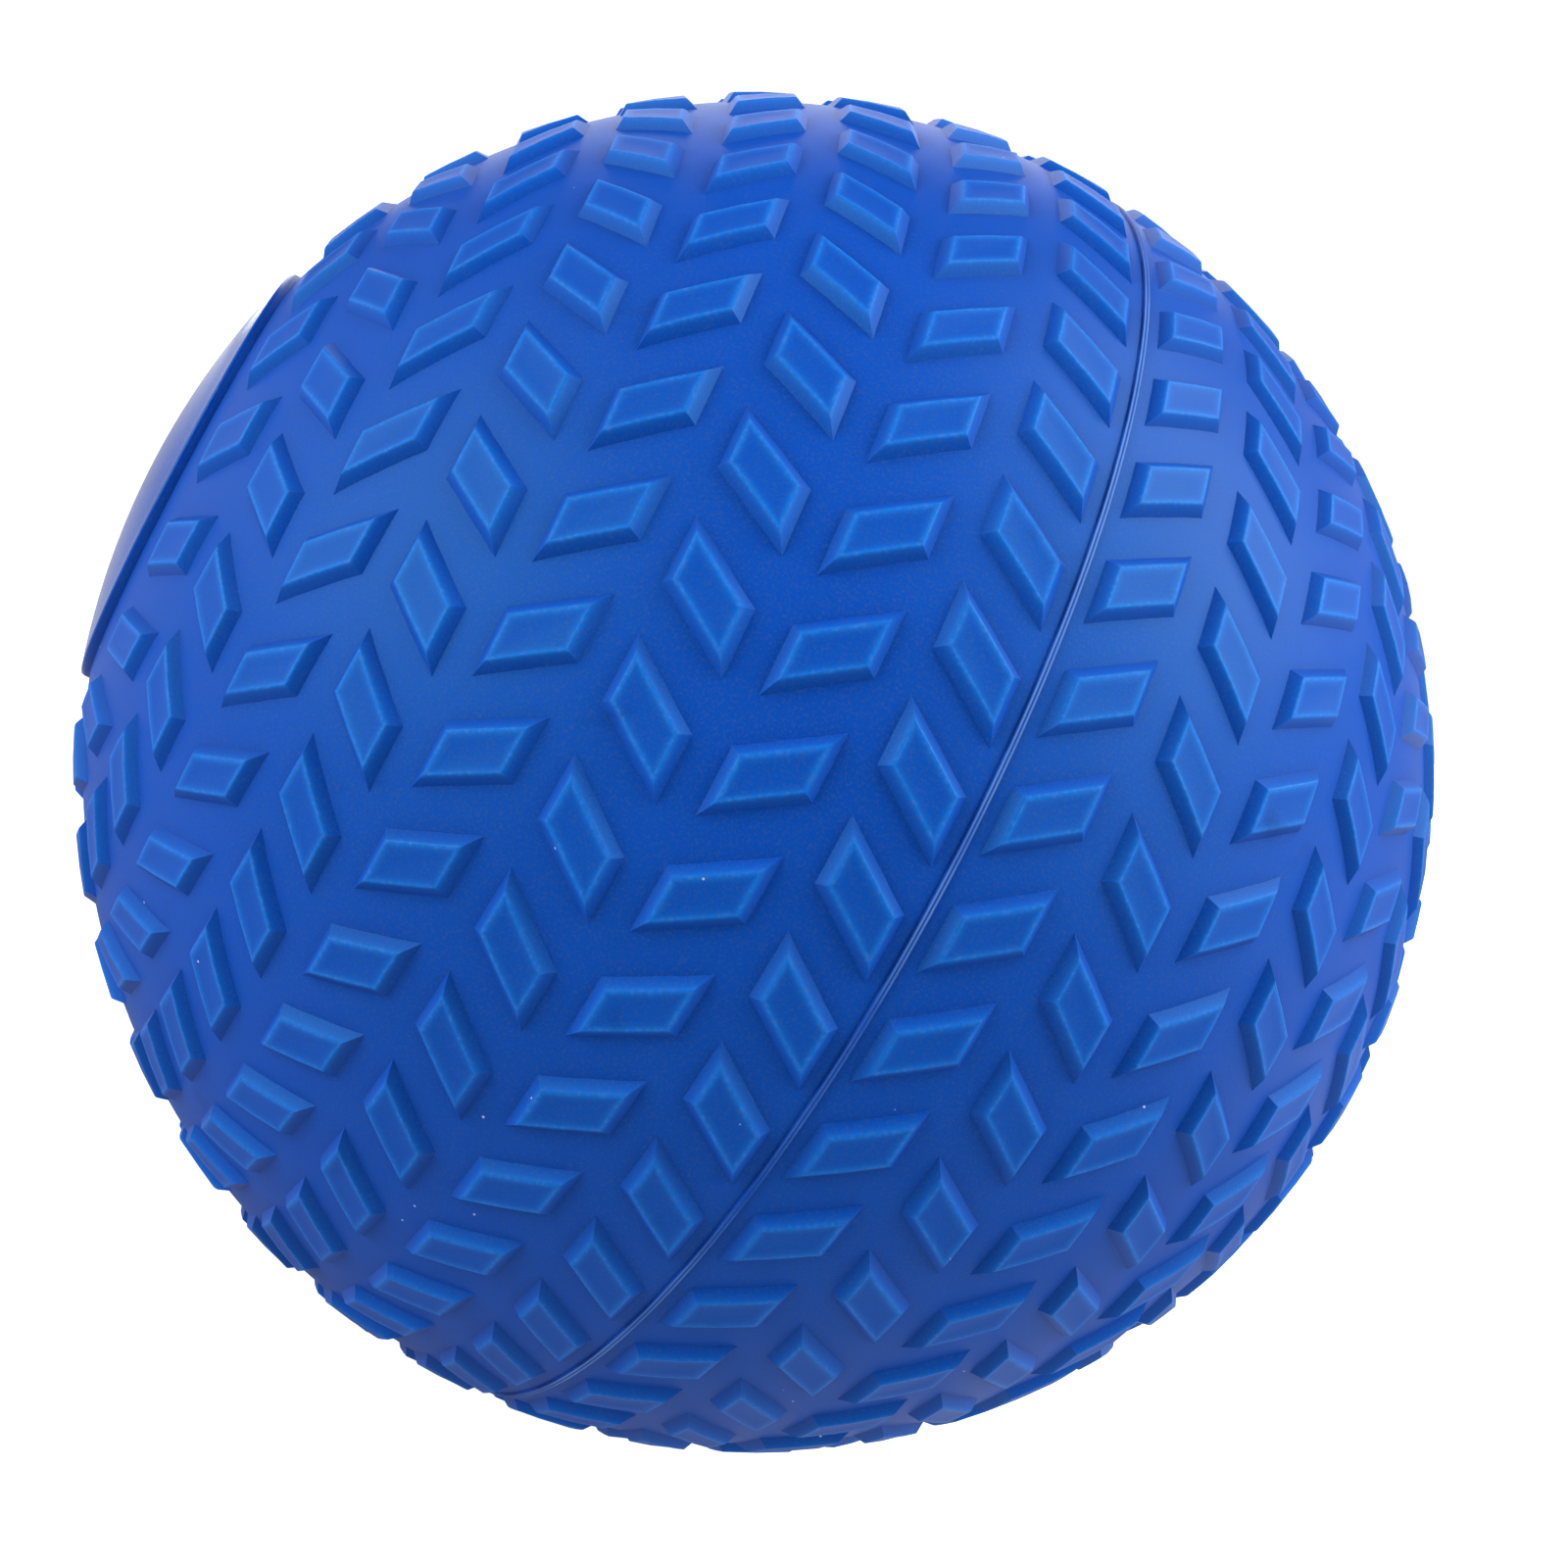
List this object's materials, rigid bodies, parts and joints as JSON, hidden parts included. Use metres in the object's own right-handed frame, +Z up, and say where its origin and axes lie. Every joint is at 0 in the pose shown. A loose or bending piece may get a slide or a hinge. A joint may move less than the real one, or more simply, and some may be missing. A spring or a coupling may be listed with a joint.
{
  "type": "tread slam ball",
  "caption": "Round weighted exercise ball: thick soft vinyl shell with a herringbone tread, a smooth disc on each pole, a plugged filling hole with a needle valve, and loose sand inside.",
  "frame": {"origin": "centre of the ball", "axes": "+X along the polar axis, out through the filling hole and valve; the moulded seam lies in the YZ plane; +Z up, away from the floor the ball rests on"},
  "size_m": [0.2276, 0.2295, 0.2295],
  "materials": {
    "shell_vinyl": "semi-matte moulded soft vinyl, royal blue, very fine grain",
    "plug_vinyl": "semi-matte moulded vinyl, blue",
    "valve_rubber": "matte black rubber",
    "ballast": "loose mineral sand, dull grains"
  },
  "bodies": {
    "shell": {"tread_shell": "shell_vinyl", "filler_plug": "plug_vinyl", "needle_valve": "valve_rubber"},
    "sand": {"ballast_sand": "ballast"}
  },
  "joints": [
    {"name": "sand_shift", "type": "hinge", "parent": "shell", "child": "sand", "pos_m": [0, 0, 0], "axis": [1, 0, 0], "continuous": true}
  ]
}
